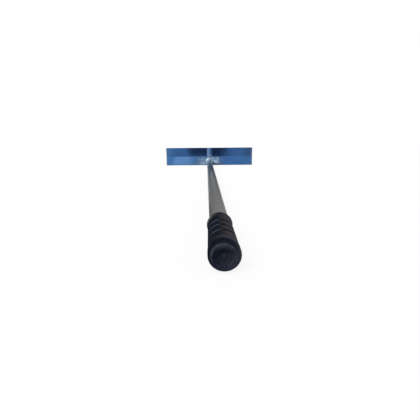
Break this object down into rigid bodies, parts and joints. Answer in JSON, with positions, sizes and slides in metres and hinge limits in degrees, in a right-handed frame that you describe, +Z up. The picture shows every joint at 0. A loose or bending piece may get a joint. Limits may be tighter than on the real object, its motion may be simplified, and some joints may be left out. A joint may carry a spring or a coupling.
{
  "type": "concrete rake",
  "caption": "Concrete rake for pulling and levelling wet concrete: wide folded metal blade with a stiffening rib, welded to a long round tube with a rubber grip on its end.",
  "frame": {"origin": "on the ground below the middle of the tool: halfway along its length, in the middle of the blade's width, at the height of the blade's lower edge", "axes": "+X across the blade, to the right as seen from the grip; +Y along the handle from the grip to the blade; +Z up, towards the blade's working edge"},
  "size_m": [0.5, 1.5038, 0.0999],
  "materials": {
    "blade_blue": "satin",
    "bare_aluminium": "satin",
    "weld_metal": "satin",
    "grip_rubber": "matte"
  },
  "bodies": {
    "root": {"blade": "blade_blue", "blade_rib": "blade_blue", "handle_tube": "bare_aluminium", "handle_weld": "weld_metal", "rib_weld_left": "blade_blue", "rib_weld_right": "blade_blue", "rib_foot_weld": "blade_blue", "grip": "grip_rubber"}
  },
  "joints": []
}
